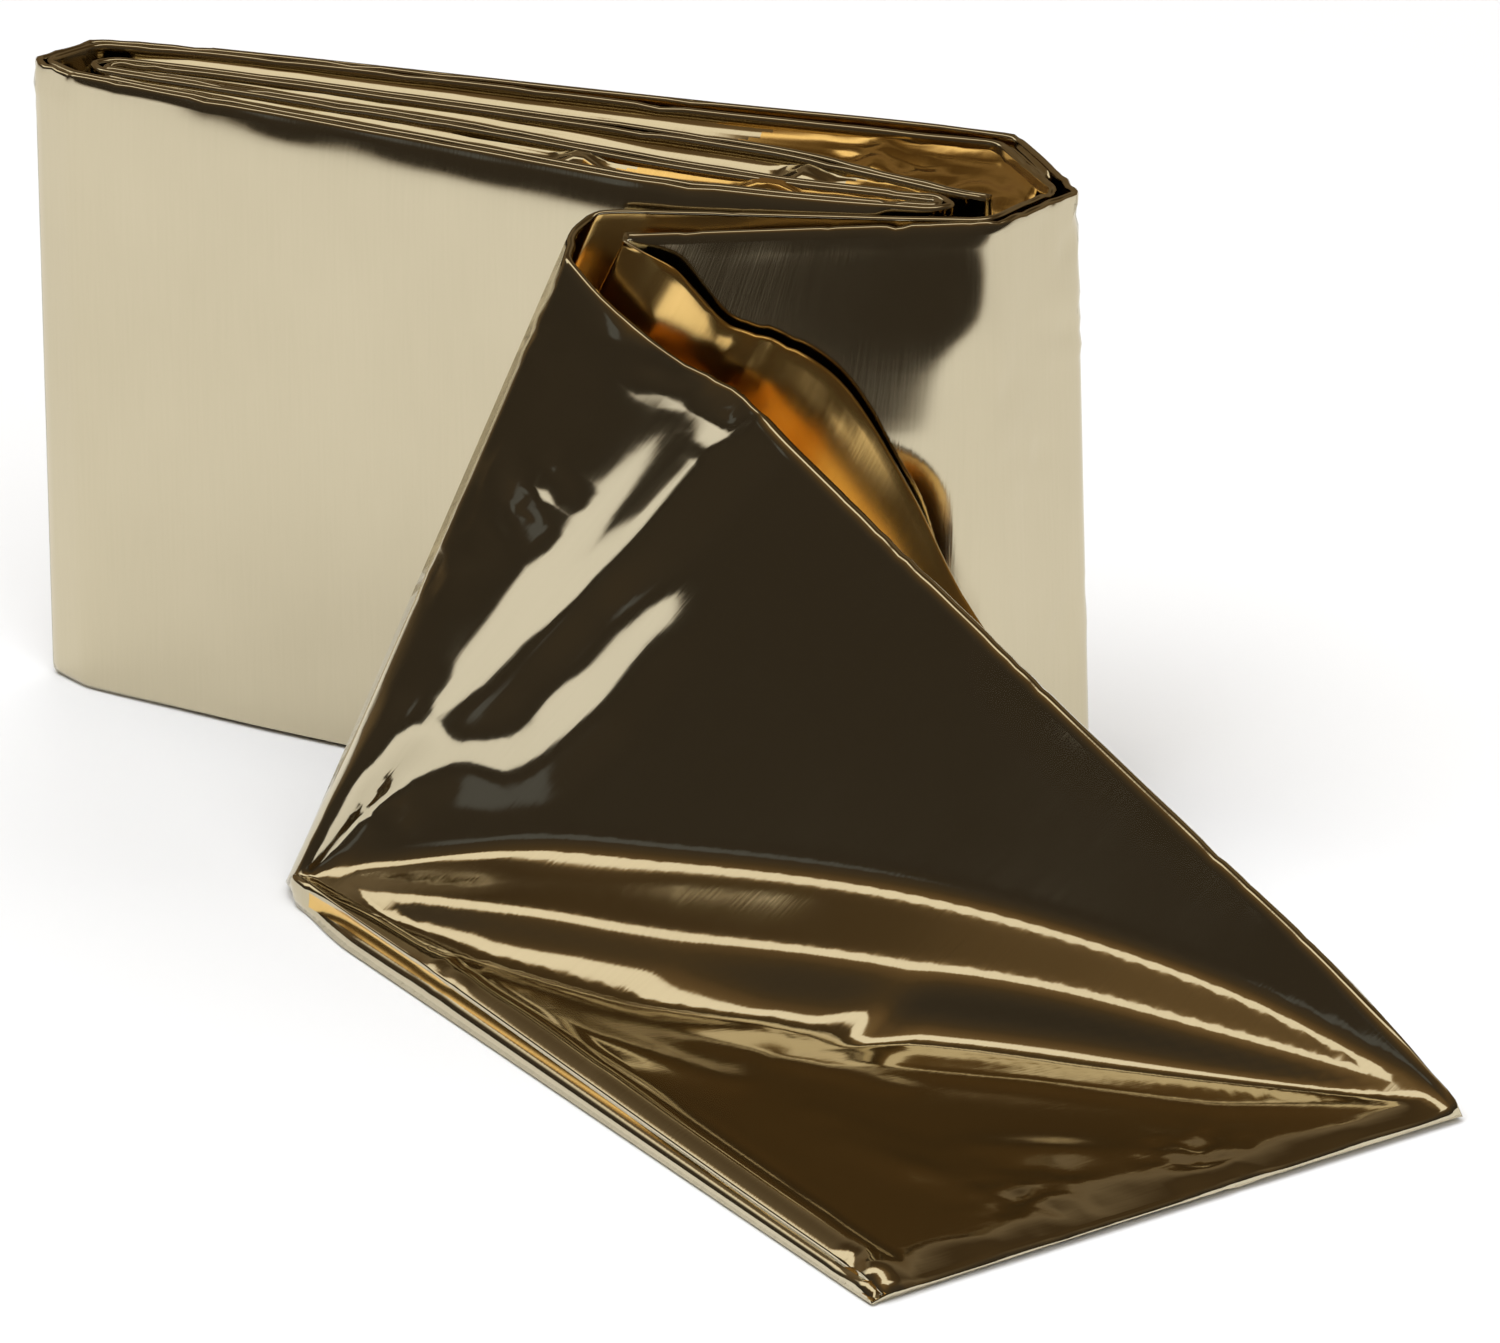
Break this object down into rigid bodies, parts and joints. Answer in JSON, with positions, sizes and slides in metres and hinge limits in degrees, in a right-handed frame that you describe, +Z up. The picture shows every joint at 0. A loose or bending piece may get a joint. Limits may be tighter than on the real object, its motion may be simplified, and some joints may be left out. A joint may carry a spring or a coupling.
{
  "type": "emergency foil blanket",
  "caption": "Half-unpacked emergency foil blanket: a folded packet on edge with its front leaf turned over a slanted crease and fanned out on the floor.",
  "frame": {"origin": "centre of the bounding box, on the surface the blanket stands on", "axes": "+X along the packet towards the end where the tail lies, -Y towards the tail in front, +Z up"},
  "size_m": [0.1978, 0.141, 0.0795],
  "materials": {
    "foil": "mirror-bright metallised film, champagne outside and gold inside"
  },
  "bodies": {
    "root": {"foil_blanket": "foil"}
  },
  "joints": []
}
